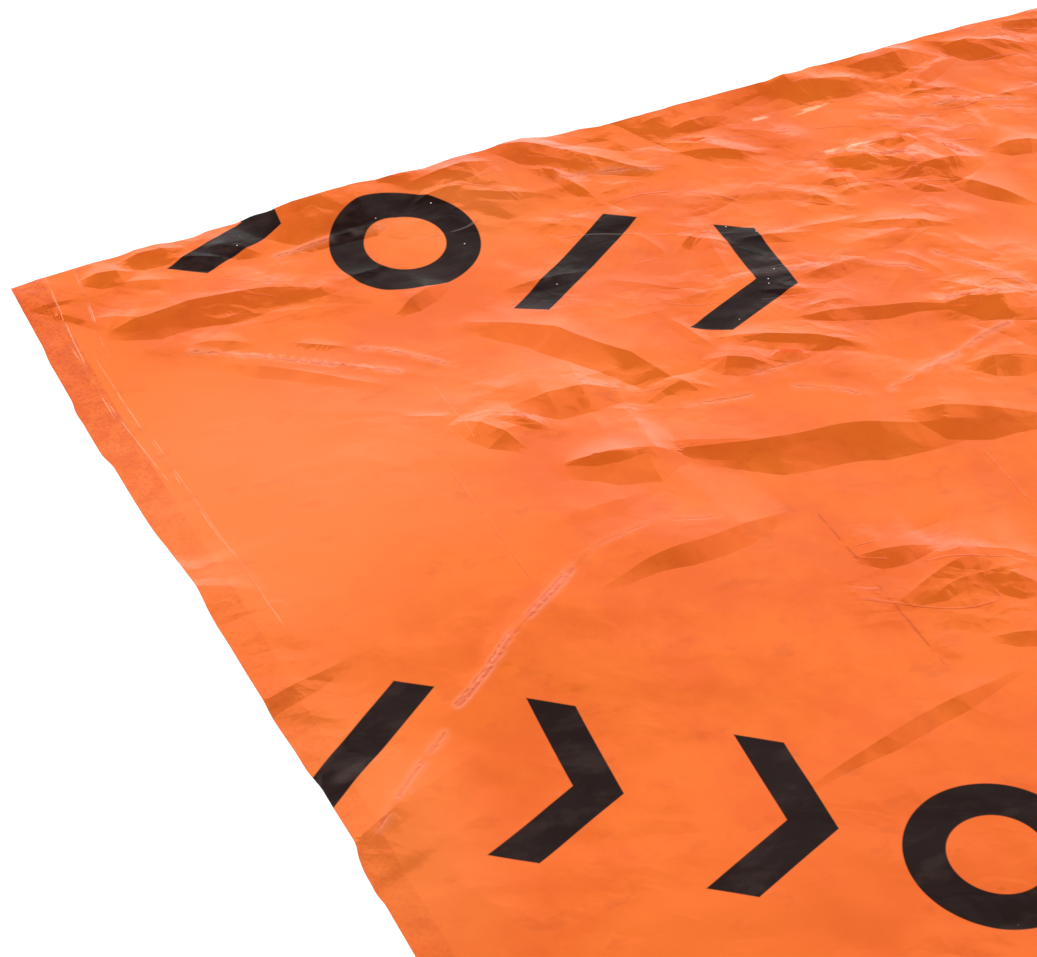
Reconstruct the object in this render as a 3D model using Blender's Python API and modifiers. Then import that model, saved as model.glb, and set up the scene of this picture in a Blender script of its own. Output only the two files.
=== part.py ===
"""A cut length of an emergency foil blanket, lying loosely crumpled on a level surface.

One thin sheet of film. Its top left corner is a factory corner: the left edge carries a heat-welded strip,
the top edge is plain, and the right and bottom edges are straight cuts. The origin is at the middle of the
sheet, on the surface that it lies on. X runs along the top edge and Y runs up the welded edge.

Places in the tables are millimetres from the factory corner: "right" along the top edge and "down" along the
welded edge. Each fold has a crest, a steep flat front and a longer back, and fades out towards both ends.
"""
import math
from collections import namedtuple

import bmesh
import bpy
from mathutils import Vector
from mathutils.geometry import delaunay_2d_cdt

MM = 0.001

# Sheet
WIDTH = 900.0              # along the top edge
LENGTH = 700.0             # along the welded edge
FILM = 1.2                 # thickness of the solid
CELL = 16.0                # pitch of the mesh points between the folds
CLEAR = 6.0                # no loose mesh point lies nearer than this to a fold line
MERGE = 2.0                # mesh points nearer than this become one
RIM = 5.0                  # fold lines stop this far inside the sheet's edges
WELD = 13.0                # width of the heat-welded strip
WELD_STEP = 0.4            # the film beside the strip stands this much prouder
EDGE_WAVE = 1.2            # the cut edges wander by this much
SHIFT_DEPTH = 70.0         # how far into the sheet a shift of its edge is felt

# Shape shared by all folds
END_SHARE = 0.3            # width of a fold at its ends, as a share of the width at its peak
FRONT_REACH = 1.1          # foot of the front slope, in front widths from the crest
RISE_SHARE = 0.89          # height of the peak, as a share of front width times slope
BACK_POWER = 1.6           # how quickly the back slope flattens out
PLATEAU = 1.45             # above 1, a stretch in the middle of a fold is as high as its peak

# A fold: crest from (right, down) to (right_end, down_end), bowed up by "bow", peak at a share of its
# length, width and slope in degrees of its front, and reach of its back slope.
Fold = namedtuple("Fold", "name right down right_end down_end bow peak front slope back")
FOLDS = (
    Fold("corner_patch_a", 28, 10, 54, 14, 1, 0.50, 8, 17, 12),
    Fold("corner_patch_b", 47, 6, 80, 6, 2, 0.50, 9, 17, 16),
    Fold("corner_slant_a", 68, 10, 98, 27, 2, 0.40, 8, 16, 22),
    Fold("corner_step", 26, 48, 138, 66, 9, 0.30, 15, 16.5, 38),
    Fold("small_wing", 147, 90, 179, 80, 3, 0.50, 8, 15, 24),
    Fold("print_facet", 108, 0, 202, 0, 0, 0.42, 30, 14.5, 8),
    Fold("print_facet_b", 186, 8, 234, 9, 2, 0.60, 8, 15, 10),
    Fold("top_lens", 233, -6, 307, 45, 3, 0.36, 11.5, 20, 24),
    Fold("edge_roll", 268, 0, 640, 0, 0, 0.12, 19, 14.5, 4),
    Fold("edge_patch_d", 387, 7, 443, 23, 3, 0.45, 11, 15, 14),
    Fold("edge_patch_e", 429, 5, 474, 7, 0, 0.35, 12, 10, 12),
    Fold("edge_patch_f", 449, 32, 485, 18, 2, 0.50, 7, 19, 14),
    Fold("edge_patch_g", 482, 9, 527, 28, 2, 0.40, 12, 19, 20),
    Fold("cluster_a", 383, 67, 405, 87, 3, 0.50, 9, 20, 26),
    Fold("cluster_c", 405, 67, 429, 74, 1, 0.50, 8, 19, 16),
    Fold("side_band", 403, 95, 453, 99, 1, 0.45, 14, 16, 34),
    Fold("side_band_low", 428, 105, 453, 145, 2, 0.35, 8, 17, 22),
    Fold("side_nick_b", 457, 94, 489, 106, 1, 0.50, 9, 15, 18),
    Fold("thin_ripple", 303, 172, 388, 202, 3, 0.30, 6, 20, 30),
    Fold("knot_dark", 372, 192, 409, 203, -2, 0.50, 14, 14, 20),
    Fold("middle_ripple", 268, 172, 330, 208, 3, 0.45, 8, 14.5, 36),
    Fold("middle_nick_a", 253, 180, 281, 202, 3, 0.50, 11, 13, 20),
    Fold("big_band", 201, 232, 344, 269, 4, 0.55, 18.5, 17.5, 150),
    Fold("big_band_left", 208, 227, 262, 245, 1, 0.35, 11, 9, 60),
    Fold("big_band_tail", 315, 250, 378, 281, 1, 0.30, 15, 17.5, 80),
    Fold("band_knot", 354, 232, 396, 244, 1, 0.45, 11, 16, 36),
    Fold("triangle_dip", 160, 225, 214, 237, 4, 0.68, 19, 15, 84),
    Fold("bow_upper", 170, 108, 244, 204, 11, 0.50, 15, 20, 62),
    Fold("short_step", 162, 178, 223, 187, 3, 0.40, 14, 19, 76),
    Fold("small_step", 136, 178, 156, 209, 3, 0.50, 10, 19, 30),
    Fold("ridge_low", 56, 340, 149, 278, 0, 0.60, 58, 1.8, 9),
    Fold("ridge_lens", 142, 300, 241, 284, 1, 0.60, 9, 20.5, 76),
    Fold("weld_pucker", -31, 309, 41, 293, 1, 0.50, 7, 12, 22),
    Fold("weld_patch", -38, 202, 25, 245, 1, 0.58, 24, 8, 40),
    Fold("low_patch", -50, 405, 64, 358, 2, 0.50, 22, 9, 60),
    Fold("low_slope", -50, 421, 64, 384, 2, 0.50, 62, 3.4, 84),
    Fold("side_knuckle", 275, 336, 321, 356, 6, 0.40, 13, 15, 62),
    Fold("side_knuckle_b", 247, 353, 297, 343, 2, 0.60, 13, 14, 36),
    Fold("side_knuckle_c", 258, 358, 310, 353, 2, 0.60, 14, 11, 22),
    Fold("side_knuckle_d", 293, 352, 308, 370, 2, 0.50, 11, 12, 24),
    Fold("side_nick_c", 248, 319, 284, 329, 1, 0.40, 9, 14, 32),
    Fold("plain_rib_1", 440, 262, 640, 330, 8, 0.40, 30, 13, 50),
    Fold("plain_rib_2", 560, 60, 800, 150, -12, 0.55, 34, 14, 56),
    Fold("plain_rib_3", 520, 200, 700, 150, 6, 0.50, 20, 14, 34),
    Fold("plain_rib_4", 690, 250, 900, 330, -8, 0.45, 28, 13, 46),
    Fold("plain_rib_5", 330, 590, 560, 520, 9, 0.45, 34, 12, 54),
    Fold("plain_rib_6", 90, 570, 290, 650, -9, 0.55, 30, 12, 46),
    Fold("plain_rib_7", 560, 630, 780, 540, 10, 0.50, 32, 12, 50),
    Fold("plain_rib_8", 740, 420, 860, 540, 7, 0.45, 26, 13, 40),
    Fold("plain_rib_9", 600, 400, 730, 470, -4, 0.50, 18, 13, 28),
    Fold("plain_rib_10", 760, 650, 880, 620, 4, 0.50, 18, 13, 26),
)

# A swell: a smooth low hump centred at (right, down), turned by a number of degrees.
Swell = namedtuple("Swell", "name right down reach_along reach_across turn rise")
SWELLS = (
    Swell("top_edge_hump", 228, 0, 60, 56, 0, 5.5),
    Swell("top_edge_body", 175, 4, 110, 70, 0, 2.6),
    Swell("corner_lift", 46, 0, 100, 52, 0, 3.2),
    Swell("left_rise", 98, 254, 176, 180, 0, 13),
    Swell("left_edge_rise", -10, 300, 90, 110, 0, 5.5),
    Swell("low_left_rise", 45, 448, 230, 200, 0, 9),
    Swell("ridge_body", 200, 316, 140, 105, -15, 2.4),
    Swell("low_front", 235, 402, 130, 135, 0, 2.2),
    Swell("right_swell", 345, 150, 130, 84, 22, 1.5),
    Swell("knot_swell", 420, 210, 80, 66, 0, 3),
    Swell("far_right_swell", 700, 190, 170, 90, 20, 8),
    Swell("low_swell", 420, 580, 170, 84, -18, 7),
    Swell("low_left_swell", 130, 590, 150, 90, 18, 5),
    Swell("low_right_swell", 760, 540, 130, 86, 35, 7),
)

# A shift: a stretch of the welded or the plain edge lies further in, or out if below zero.
Shift = namedtuple("Shift", "name edge place reach size")
SHIFTS = (
    Shift("weld_out", "welded", 90, 150, -2),
    Shift("weld_out_top", "welded", 72, 30, -1.1),
    Shift("weld_notch", "welded", 110, 26, -1.8),
    Shift("weld_draw", "welded", 213, 32, 0.5),
    Shift("weld_out_low", "welded", 275, 60, -1),
    Shift("weld_draw_low", "welded", 368, 30, 1.4),
    Shift("weld_out_end", "welded", 398, 16, -1),
    Shift("plain_out_a", "plain", 28, 50, -0.8),
    Shift("plain_out_b", "plain", 105, 20, -2.4),
    Shift("plain_in_a", "plain", 150, 24, 1.3),
    Shift("plain_out_c", "plain", 270, 26, -1.9),
    Shift("plain_in_b", "plain", 310, 26, 1.4),
    Shift("plain_in_c", "plain", 396, 16, 1.4),
    Shift("plain_draw", "plain", 470, 210, 3.4),
    Shift("plain_out_d", "plain", 496, 34, -1.5),
)


def clear_scene():
    for old in list(bpy.data.objects):
        bpy.data.objects.remove(old, do_unlink=True)


def clamp(value):
    return max(0.0, min(1.0, value))


def taper(fold, share):
    """How much of a fold's full size it has at a share of its length."""
    return min(1.0, PLATEAU * min(share / fold.peak, (1.0 - share) / (1.0 - fold.peak)))


def bow_at(fold, share):
    return fold.bow * min(1.0, 3.0 * share, 3.0 - 3.0 * share)


def fold_height(fold, right, down):
    """Height of one fold above a point of the sheet."""
    run_right = fold.right_end - fold.right
    run_down = fold.down_end - fold.down
    run = math.hypot(run_right, run_down)
    share = clamp(((right - fold.right) * run_right + (down - fold.down) * run_down) / run ** 2)
    size = taper(fold, share)
    if size <= 0.0:
        return 0.0
    aside = ((down - fold.down) * run_right - (right - fold.right) * run_down) / run
    aside += bow_at(fold, share)
    spread = END_SHARE + (1.0 - END_SHARE) * size
    rise = RISE_SHARE * fold.front * math.tan(math.radians(fold.slope)) * size
    if aside > 0.0:
        return rise * clamp(1.0 - aside / (FRONT_REACH * fold.front * spread))
    return rise * clamp(1.0 + aside / (fold.back * spread)) ** BACK_POWER


def swell_height(swell, right, down):
    """Height of one smooth hump above a point of the sheet."""
    turn = math.radians(swell.turn)
    along = (right - swell.right) * math.cos(turn) + (down - swell.down) * math.sin(turn)
    across = (down - swell.down) * math.cos(turn) - (right - swell.right) * math.sin(turn)
    away = math.hypot(along / swell.reach_along, across / swell.reach_across)
    return swell.rise * 0.5 * (1.0 + math.cos(math.pi * min(1.0, away)))


def relief(right, down):
    """Height of the underside of the film above the surface, in millimetres."""
    height = sum(swell_height(swell, right, down) for swell in SWELLS)
    height += sum(fold_height(fold, right, down) for fold in FOLDS)
    return height


def shift_at(edge, along, inward):
    """How far a point is drawn in from the welded or the plain edge."""
    total = 0.0
    for shift in SHIFTS:
        if shift.edge == edge:
            share = clamp(2.0 * (1.0 - abs(along - shift.place) / shift.reach))
            total += shift.size * share ** 2 * (3.0 - 2.0 * share)
    return total * max(0.0, 1.0 - inward / SHIFT_DEPTH)


def fold_courses(fold):
    """The crest and the foot of a fold, each as a run of points."""
    start = Vector((fold.right, fold.down))
    end = Vector((fold.right_end, fold.down_end))
    square = (end - start).normalized().orthogonal()
    kinks = [fold.peak / PLATEAU, 1.0 - (1.0 - fold.peak) / PLATEAU]
    crest = []
    foot = []
    for share in sorted([0.0, 1.0 / 3.0, 2.0 / 3.0, 1.0] + kinks):
        spread = END_SHARE + (1.0 - END_SHARE) * taper(fold, share)
        point = start.lerp(end, share) - square * bow_at(fold, share)
        crest.append(point)
        foot.append(point + square * FRONT_REACH * fold.front * spread)
    return crest, foot


def inside_part(start, end):
    """The part of a line that lies within the sheet, or None."""
    low = 0.0
    high = 1.0
    for place, way, limit in ((start.x, end.x - start.x, WIDTH), (start.y, end.y - start.y, LENGTH)):
        if abs(way) < 0.001:
            if not RIM < place < limit - RIM:
                return None
            continue
        first, last = sorted(((RIM - place) / way, (limit - RIM - place) / way))
        low = max(low, first)
        high = min(high, last)
    if high <= low:
        return None
    return start.lerp(end, low), start.lerp(end, high)


def scored_lines():
    """The weld line and all the fold lines, as pairs of points."""
    courses = [[Vector((WELD, row * CELL)) for row in range(int(LENGTH / CELL) + 1)]]
    for fold in FOLDS:
        courses.extend(fold_courses(fold))
    lines = []
    for course in courses:
        for start, end in zip(course, course[1:]):
            part = inside_part(start, end)
            if part:
                lines.append(part)
    return lines


def distance_to(line, point):
    start, end = line
    course = end - start
    share = clamp((point - start).dot(course) / course.length_squared)
    return (point - start - course * share).length


def rim_points():
    """Points round the outline, corner after corner."""
    columns = round(WIDTH / CELL)
    rows = round(LENGTH / CELL)
    half = [Vector((WIDTH * i / columns, 0.0)) for i in range(columns)]
    half += [Vector((WIDTH, LENGTH * i / rows)) for i in range(rows)]
    return half + [Vector((WIDTH, LENGTH)) - point for point in half]


def loose_points(lines):
    """Staggered points between the fold lines."""
    points = []
    for row in range(int(LENGTH / CELL)):
        stagger = 0.25 if row % 2 else -0.25
        for column in range(int(WIDTH / CELL)):
            point = Vector(((column + 0.5 + stagger) * CELL, (row + 0.5) * CELL))
            if all(distance_to(line, point) > CLEAR for line in lines):
                points.append(point)
    return points


def lay_out_flat():
    """A flat film in millimetres from the factory corner, with mesh edges along its folds."""
    lines = scored_lines()
    outline = rim_points()
    points = outline + loose_points(lines)
    edges = []
    for line in lines:
        edges.append((len(points), len(points) + 1))
        points.extend(line)
    laid = delaunay_2d_cdt(points, edges, [list(range(len(outline)))], 1, MERGE)
    film = bmesh.new()
    corners = [film.verts.new((point.x, point.y, 0.0)) for point in laid[0]]
    for face in laid[2]:
        film.faces.new([corners[i] for i in face])
    loose = [point for point in film.verts if not point.link_faces]
    bmesh.ops.delete(film, geom=loose, context="VERTS")
    return film


def wander(place, phase):
    """How far a cut edge strays from straight, at a place along it."""
    return EDGE_WAVE * (math.sin(place / 61.0 + phase) + 0.5 * math.sin(place / 23.0 + 2.0 * phase))


def raise_folds(film):
    """Lifts the flat film into its folds and moves it to the part's own frame, in metres."""
    for point in film.verts:
        right = point.co.x
        down = point.co.y
        height = relief(right, down)
        if right > WELD - 1.0:
            height += WELD_STEP * min(1.0, height / 2.0)
        right += wander(point.co.y, 0.4) * (right / WIDTH) ** 4 + shift_at("welded", down, right)
        down += wander(point.co.x, 1.9) * (down / LENGTH) ** 4 + shift_at("plain", point.co.x, down)
        point.co.x = (right - WIDTH / 2.0) * MM
        point.co.y = (LENGTH / 2.0 - down) * MM
        point.co.z = (height + FILM) * MM


def centre_on_floor(film):
    xs = [point.co.x for point in film.verts]
    ys = [point.co.y for point in film.verts]
    middle = Vector(((min(xs) + max(xs)) / 2.0, (min(ys) + max(ys)) / 2.0, 0.0))
    bmesh.ops.translate(film, verts=film.verts, vec=-middle)


def foil_material():
    material = bpy.data.materials.new("orange_foil")
    material.use_nodes = True
    shader = material.node_tree.nodes["Principled BSDF"]
    shader.inputs["Base Color"].default_value = (1.0, 0.19, 0.04, 1.0)
    shader.inputs["Metallic"].default_value = 0.4
    shader.inputs["Roughness"].default_value = 0.28
    return material


def make_foil_sheet(collection):
    film = lay_out_flat()
    raise_folds(film)
    centre_on_floor(film)
    bmesh.ops.recalc_face_normals(film, faces=film.faces)
    if sum(face.normal.z for face in film.faces) < 0.0:
        bmesh.ops.reverse_faces(film, faces=film.faces)
    mesh = bpy.data.meshes.new("foil_sheet")
    film.to_mesh(mesh)
    film.free()
    mesh.materials.append(foil_material())
    sheet = bpy.data.objects.new("foil_sheet", mesh)
    collection.objects.link(sheet)
    shell = sheet.modifiers.new("film_thickness", "SOLIDIFY")
    shell.thickness = FILM * MM
    shell.offset = -1.0
    return sheet


def main():
    clear_scene()
    collection = bpy.data.collections.new("foil_blanket")
    bpy.context.scene.collection.children.link(collection)
    make_foil_sheet(collection)


main()
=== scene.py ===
import math
import random
from collections import namedtuple

import bmesh
import bpy
import numpy as np
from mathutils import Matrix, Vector, noise
from mathutils.geometry import delaunay_2d_cdt


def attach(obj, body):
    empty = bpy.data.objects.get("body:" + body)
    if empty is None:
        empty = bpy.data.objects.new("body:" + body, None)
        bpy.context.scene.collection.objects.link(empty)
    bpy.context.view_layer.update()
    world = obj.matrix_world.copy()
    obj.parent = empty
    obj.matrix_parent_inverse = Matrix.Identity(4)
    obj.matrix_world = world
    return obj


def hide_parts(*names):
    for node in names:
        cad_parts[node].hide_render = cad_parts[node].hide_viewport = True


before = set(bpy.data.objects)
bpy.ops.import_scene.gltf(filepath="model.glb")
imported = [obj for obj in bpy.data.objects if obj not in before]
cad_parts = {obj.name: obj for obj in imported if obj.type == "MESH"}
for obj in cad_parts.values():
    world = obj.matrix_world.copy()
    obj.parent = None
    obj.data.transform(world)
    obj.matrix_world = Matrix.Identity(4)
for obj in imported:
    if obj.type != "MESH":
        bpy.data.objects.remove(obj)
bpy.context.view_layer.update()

mm = 0.001

# Places on the film are millimetres from the factory corner: right along the plain edge, and down along
# the welded edge.
sheet = {
    "name": "foilSheet",
    "width": 900.0,
    "length": 700.0,
    "film": 0.35,         # thickness that shows at the edges
    "cell": 20.0,         # pitch of the first mesh, before the fold lines are cut in
    "stagger": 0.25,      # sideways shift of every other row of the first mesh, in cells
    "clear": 0.36,        # how far the first mesh keeps from the fold lines, in cells
    "merge": 1.0,         # mesh points nearer than this become one
    "footWidth": 4.0,     # folds with a front wider than this are cut along the foot too
    "closeEdge": 4.5,     # longest mesh edge near the factory corner
    "farEdge": 12.0,      # longest mesh edge elsewhere
    "refinePasses": 7,
    "rightLimit": (575.0, -0.66),    # the fine mesh ends this far right: at the top, and change per mm down
    "downLimit": (460.0, 0.475),     # and this far down: at the left, and change per mm right
    "weld": 13.0,         # width of the heat-welded strip
    "weldStep": 0.15,     # the single film beside the strip lies this much higher
    "weldSlope": 5.0,     # width of that step
    "flatLift": 0.8,      # middle height of the flat film
    "ripple": (0.50, 0.8),           # height of the ripple, and what full crumpling adds to it
    "rippleWaves": ((48.0, 0.15, 1.0), (19.0, 0.4, 0.4)),     # size, level, share
    "edgeWave": 1.2,      # how far the cut edges wander
    "edgeWaves": (61.0, 23.0),
    "drawReach": 70.0,    # how far in from the edge the edge shifts reach
    "sway": 3.5,          # how far fold lines stray sideways
    "swayScale": 38.0,
    "swayRim": 50.0,      # the straying fades out over this rim
    "crestReach": 12.0,   # distances from a crest are kept up to this
    "sharpAngle": 7.0,
}

# the section that every fold shares
foldForm = {
    "plateau": 1.45,      # above 1, the middle of every fold is as high as its peak
    "endSpread": 0.3,     # breadth of a fold at its ends, as a share of the middle
    "rise": 0.89,         # height for each mm of front width, at a slope of 1
    "foot": 1.1,          # where the front ends, in front widths
    "frontCurve": 1.05,
    "backCurve": 1.6,
}

foldShape = namedtuple("foldShape", "name right down rightEnd downEnd bow peak width tilt back rubbing")

# name, start right and down, end right and down, bow, where the peak is, front width and tilt, back width,
# strength of the painted highlight and painted shade on the crest
foldRows = [
    ("cornerPatchA", 28, 10, 54, 14, 1, 0.50, 8, 17, 12, 0.0),
    ("cornerPatchB", 47, 6, 80, 6, 2, 0.50, 9, 17, 16, 0.0),
    ("cornerSlantA", 68, 10, 98, 27, 2, 0.40, 8, 16, 22, 0.0),
    ("cornerSlantB", 86, 11, 111, 26, 2, 0.50, 7, 15, 20, 0.0),
    ("cornerPatchC", 25, 35, 46, 53, 2, 0.50, 8, 13, 24, 0.0),
    ("cornerStep", 26, 48, 138, 66, 9, 0.30, 15, 16.5, 38, 0.0),
    ("cornerTail", 107, 62, 161, 55, 0, 0.50, 5, 13, 14, 0.0),
    ("doubleCrease", 48, 69, 140, 138, 0, 0.45, 7, 8, 4, 0.9),
    ("creaseShade", 58, 83, 124, 140, 0, 0.45, 7, 10, 12, 0.0),
    ("thinCreaseA", 119, 103, 160, 142, 1, 0.50, 5, 6, 4, 0.7),
    ("shortDark", 98, 87, 121, 102, 0, 0.50, 3, 15, 6, 0.0),
    ("smallWing", 147, 90, 179, 80, 3, 0.50, 8, 15, 24, 0.0),
    ("printFacet", 108, 0, 202, 0, 0, 0.42, 30, 14.5, 8, 0.0),
    ("printCrease", 109, 31, 175, 29, 2, 0.50, 4, 13, 4, 0.9),
    ("printFacetB", 186, 8, 234, 9, 2, 0.60, 8, 15, 10, 0.0),
    ("printKnot", 188, 20, 215, 19, 2, 0.50, 4, 15, 5, 0.0),
    ("topLens", 233, -6, 307, 45, 3, 0.36, 11.5, 20, 24, 0.0),
    ("topLensFoot", 255, 30, 316, 44, 2, 0.50, 3, 7, 5, 0.9),
    ("topPocket", 317, 30, 365, 53, -2, 0.50, 4, 20, 22, 0.0),
    ("edgeRoll", 268, 0, 640, 0, 0, 0.12, 19, 14.5, 4, 0.0),
    ("edgePatchA", 314, 5, 332, 5, 0, 0.50, 8, 9, 10, 0.0),
    ("edgePatchB", 323, 14, 357, 15, 1, 0.50, 6, 14, 14, 0.0),
    ("edgePatchD", 387, 7, 443, 23, 3, 0.45, 11, 15, 14, 0.0),
    ("edgePatchE", 429, 5, 474, 7, 0, 0.35, 12, 10, 12, 0.0),
    ("edgePatchF", 449, 32, 485, 18, 2, 0.50, 7, 19, 14, 0.0),
    ("edgePatchG", 482, 9, 527, 28, 2, 0.40, 12, 19, 20, 0.0),
    ("sideNickA", 441, 35, 473, 42, 1, 0.50, 5, 18, 12, 0.0),
    ("clusterA", 383, 67, 405, 87, 3, 0.50, 9, 20, 26, 0.0),
    ("clusterB", 403, 77, 414, 99, 2, 0.50, 6, 16, 16, 0.0),
    ("clusterC", 405, 67, 429, 74, 1, 0.50, 8, 19, 16, 0.0),
    ("clusterD", 369, 84, 387, 89, 1, 0.50, 5, 15, 14, 0.0),
    ("clusterE", 357, 91, 369, 100, 1, 0.50, 5, 15, 14, 0.0),
    ("clusterF", 371, 95, 390, 97, 1, 0.50, 4, 15, 12, 0.0),
    ("sideBand", 403, 95, 453, 99, 1, 0.45, 14, 16, 34, 0.0),
    ("sideBandLow", 428, 105, 453, 145, 2, 0.35, 8, 17, 22, 0.0),
    ("thinDark", 361, 117, 411, 143, 1, 0.50, 5, 18, 16, 0.0),
    ("sideNickB", 457, 94, 489, 106, 1, 0.50, 9, 15, 18, 0.0),
    ("redLineA", 412, 44, 454, 60, -1, 0.50, 3, 5, 4, 0.7),
    ("redLineB", 448, 48, 500, 68, 1, 0.50, 3, 5, 4, 0.8),
    ("redLineC", 476, 66, 514, 84, 1, 0.50, 3, 5, 4, 0.7),
    ("paleRidge", 288, 66, 372, 94, 2, 0.50, 6, 8, 30, 0.2),
    ("paleLineA", 284, 134, 343, 144, 1, 0.50, 5, 7, 4, 0.8),
    ("paleLineAdark", 299, 147, 327, 156, 0, 0.50, 3, 13, 8, 0.0),
    ("paleLineB", 300, 104, 316, 130, 1, 0.50, 4, 5, 4, 0.5),
    ("paleLineC", 341, 139, 381, 169, 1, 0.50, 5, 6, 4, 0.6),
    ("paleLineD", 385, 151, 416, 208, 2, 0.50, 5, 6, 4, 0.7),
    ("thinRipple", 303, 172, 388, 202, 3, 0.30, 6, 20, 30, 0.0),
    ("knotDark", 372, 192, 409, 203, -2, 0.50, 14, 14, 20, 0.0),
    ("middleRipple", 268, 172, 330, 208, 3, 0.45, 8, 14.5, 36, 0.0),
    ("middleNickA", 253, 180, 281, 202, 3, 0.50, 11, 13, 20, 0.0),
    ("middleNickB", 280, 193, 300, 200, 1, 0.50, 6, 15, 8, 0.0),
    ("middleLineA", 231, 204, 264, 214, -1, 0.50, 3, 4, 5, 0.5),
    ("middleLineB", 257, 201, 294, 202, -1, 0.50, 3, 4, 5, 0.5),
    ("bigBand", 201, 232, 344, 269, 4, 0.55, 18.5, 17.5, 150, 0.0),
    ("bigBandLeft", 208, 227, 262, 245, 1, 0.35, 11, 9, 60, 0.0),
    ("bigBandTail", 315, 250, 378, 281, 1, 0.30, 15, 17.5, 80, 0.0),
    ("bandKnot", 354, 232, 396, 244, 1, 0.45, 11, 16, 36, 0.0),
    ("creaseLight", 310, 237, 398, 216, 1, 0.60, 5, 7, 4, 0.9),
    ("creaseFine", 276, 216, 312, 240, 1, 0.50, 4, 5, 4, 0.5),
    ("dipNick", 166, 224, 200, 232, 1, 0.50, 5, 17, 14, 0.0),
    ("bowNick", 221, 195, 239, 191, 1, 0.50, 3, 17, 10, 0.0),
    ("wedgeA", 265, 168, 328, 204, 1, 0.35, 4, 20, 16, 0.0),
    ("wedgeB", 310, 167, 338, 174, 1, 0.50, 3, 17, 12, 0.0),
    ("wedgeC", 371, 194, 411, 204, 1, 0.40, 4, 18, 14, 0.0),
    ("triangleDip", 160, 225, 214, 237, 4, 0.68, 19, 15, 84, 0.0),
    ("bowUpper", 170, 108, 244, 204, 11, 0.50, 15, 20, 62, 0.0),
    ("shortStep", 162, 178, 223, 187, 3, 0.40, 14, 19, 76, 0.0),
    ("smallStep", 136, 178, 156, 209, 3, 0.50, 10, 19, 30, 0.0),
    ("smallKnot", 153, 184, 170, 197, 1, 0.50, 5, 14, 6, 0.0),
    ("ridgeLow", 56, 340, 149, 278, 0, 0.60, 58, 1.8, 9, 1.0),
    ("ridgeTail", 5, 385, 60, 340, 0, 0.50, 10, 4, 8, 0.7),
    ("ridgeHigh", 126, 291, 215, 282, 11, 0.40, 50, 1.7, 28, 0.3),
    ("ridgeLens", 142, 300, 241, 284, 1, 0.60, 9, 20.5, 76, 0.0),
    ("humpNick", 139, 260, 192, 257, 2, 0.50, 6, 8, 24, 0.0),
    ("weldPucker", -31, 309, 41, 293, 1, 0.50, 7, 12, 22, 0.0),
    ("weldPatch", -38, 202, 25, 245, 1, 0.58, 24, 8, 40, 0.0),
    ("weldLine", -10, 355, 38, 347, 1, 0.50, 4, 5, 5, 0.5),
    ("lowPatch", -50, 405, 64, 358, 2, 0.50, 22, 9, 60, 0.0),
    ("lowSlope", -50, 421, 64, 384, 2, 0.50, 62, 3.4, 84, 0.0),
    ("lowCrease", 166, 424, 276, 404, 1, 0.55, 6.5, 17, 30, 0.0),
    ("sideCrease", 272, 383, 303, 396, 1, 0.50, 7, 12, 20, 0.0),
    ("sideKnuckle", 275, 336, 321, 356, 6, 0.40, 13, 15, 62, 0.0),
    ("sideKnuckleB", 247, 353, 297, 343, 2, 0.60, 13, 14, 36, 0.0),
    ("sideKnuckleC", 258, 358, 310, 353, 2, 0.60, 14, 11, 22, 0.0),
    ("sideKnuckleD", 293, 352, 308, 370, 2, 0.50, 11, 12, 24, 0.0),
    ("sideNickC", 248, 319, 284, 329, 1, 0.40, 9, 14, 32, 0.0),
    ("plainRib1", 440, 262, 640, 330, 8, 0.40, 30, 13, 50, 0.0),
    ("plainRib2", 560, 60, 800, 150, -12, 0.55, 34, 14, 56, 0.0),
    ("plainRib3", 520, 200, 700, 150, 6, 0.50, 20, 14, 34, 0.0),
    ("plainRib4", 690, 250, 900, 330, -8, 0.45, 28, 13, 46, 0.0),
    ("plainRib5", 330, 590, 560, 520, 9, 0.45, 34, 12, 54, 0.0),
    ("plainRib6", 90, 570, 290, 650, -9, 0.55, 30, 12, 46, 0.0),
    ("plainRib7", 560, 630, 780, 540, 10, 0.50, 32, 12, 50, 0.0),
    ("plainRib8", 740, 420, 860, 540, 7, 0.45, 26, 13, 40, 0.0),
    ("plainRib9", 600, 400, 730, 470, -4, 0.50, 18, 13, 28, 0.0),
    ("plainRib10", 760, 650, 880, 620, 4, 0.50, 18, 13, 26, 0.0),
]
mainFolds = [foldShape(*row) for row in foldRows]

# name, centre right and down, reach along and across, turn in degrees, rise
swells = [
    ("topEdgeHump", 228, 0, 60, 56, 0, 5.5),
    ("topEdgeBody", 175, 4, 110, 70, 0, 2.6),
    ("cornerLift", 46, 0, 100, 52, 0, 3.2),
    ("leftRise", 98, 254, 176, 180, 0, 13.0),
    ("leftEdgeRise", -10, 300, 90, 110, 0, 5.5),
    ("lowLeftRise", 45, 448, 230, 200, 0, 9.0),
    ("ridgeBody", 200, 316, 140, 105, -15, 2.4),
    ("lowFront", 235, 402, 130, 135, 0, 2.2),
    ("rightSwell", 345, 150, 130, 84, 22, 1.5),
    ("knotSwell", 420, 210, 80, 66, 0, 3.0),
    ("farRightSwell", 700, 190, 170, 90, 20, 8.0),
    ("lowSwell", 420, 580, 170, 84, -18, 7.0),
    ("lowLeftSwell", 130, 590, 150, 90, 18, 5.0),
    ("lowRightSwell", 760, 540, 130, 86, 35, 7.0),
]

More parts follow.
